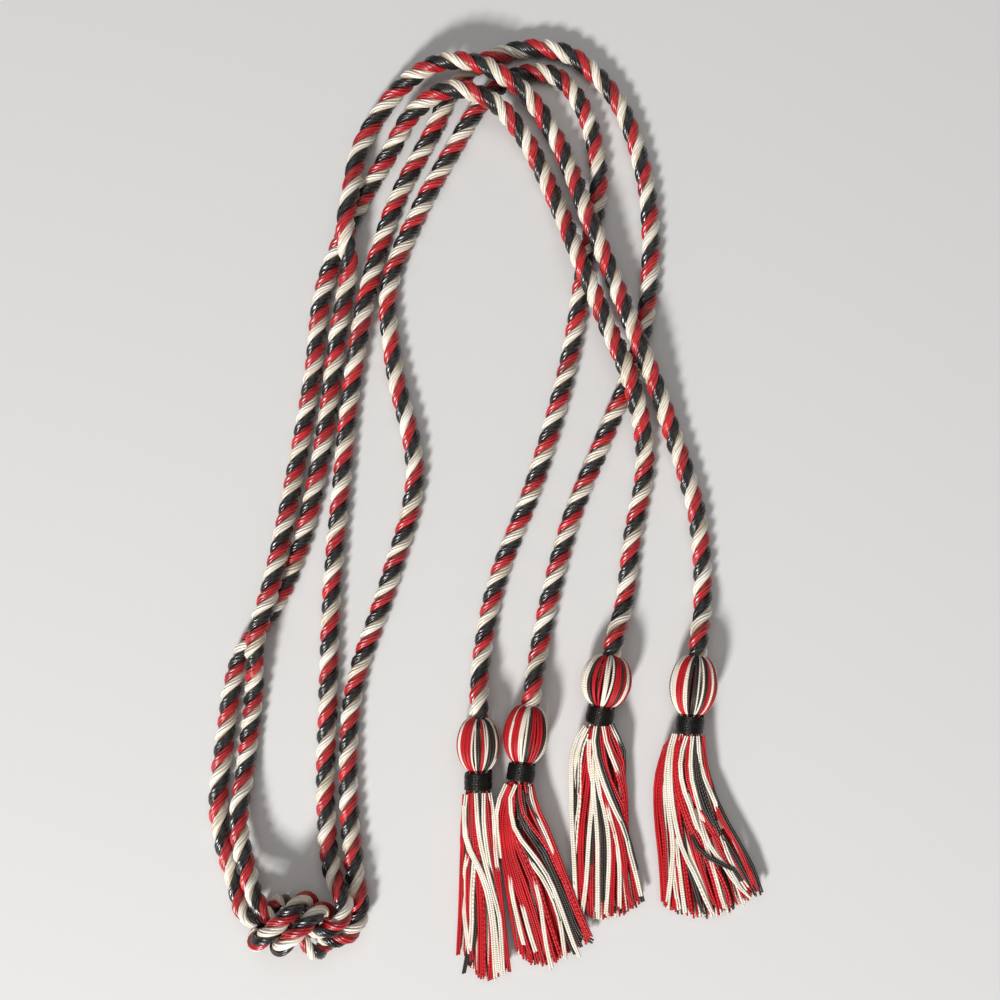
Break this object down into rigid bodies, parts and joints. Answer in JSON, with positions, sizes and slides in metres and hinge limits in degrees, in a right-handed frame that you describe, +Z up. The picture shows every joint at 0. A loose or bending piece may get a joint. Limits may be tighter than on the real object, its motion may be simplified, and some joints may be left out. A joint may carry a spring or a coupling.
{
  "type": "honor cord",
  "caption": "Twisted honor cords in red, ivory and black, tied together by an overhand knot and ending in tassels, laid flat in an arch.",
  "frame": {"origin": "on the surface that the cord lies on, under the middle of the laid object's box", "axes": "+Z up off the surface, +Y along the laid object's long side towards the top of the arch, +X towards the tassels with the knot on the -X side"},
  "size_m": [0.2107, 0.3775, 0.0248],
  "materials": {
    "cord": "satin rayon, three plies in red, ivory and black",
    "tassel": "satin rayon yarn in red, ivory and black",
    "band": "black thread wrapping"
  },
  "bodies": {
    "root": {"cord_1": "cord", "cord_2": "cord", "tassel_1": "tassel", "tassel_2": "tassel", "tassel_3": "tassel", "tassel_4": "tassel", "band_1": "band", "band_2": "band", "band_3": "band", "band_4": "band"}
  },
  "joints": []
}
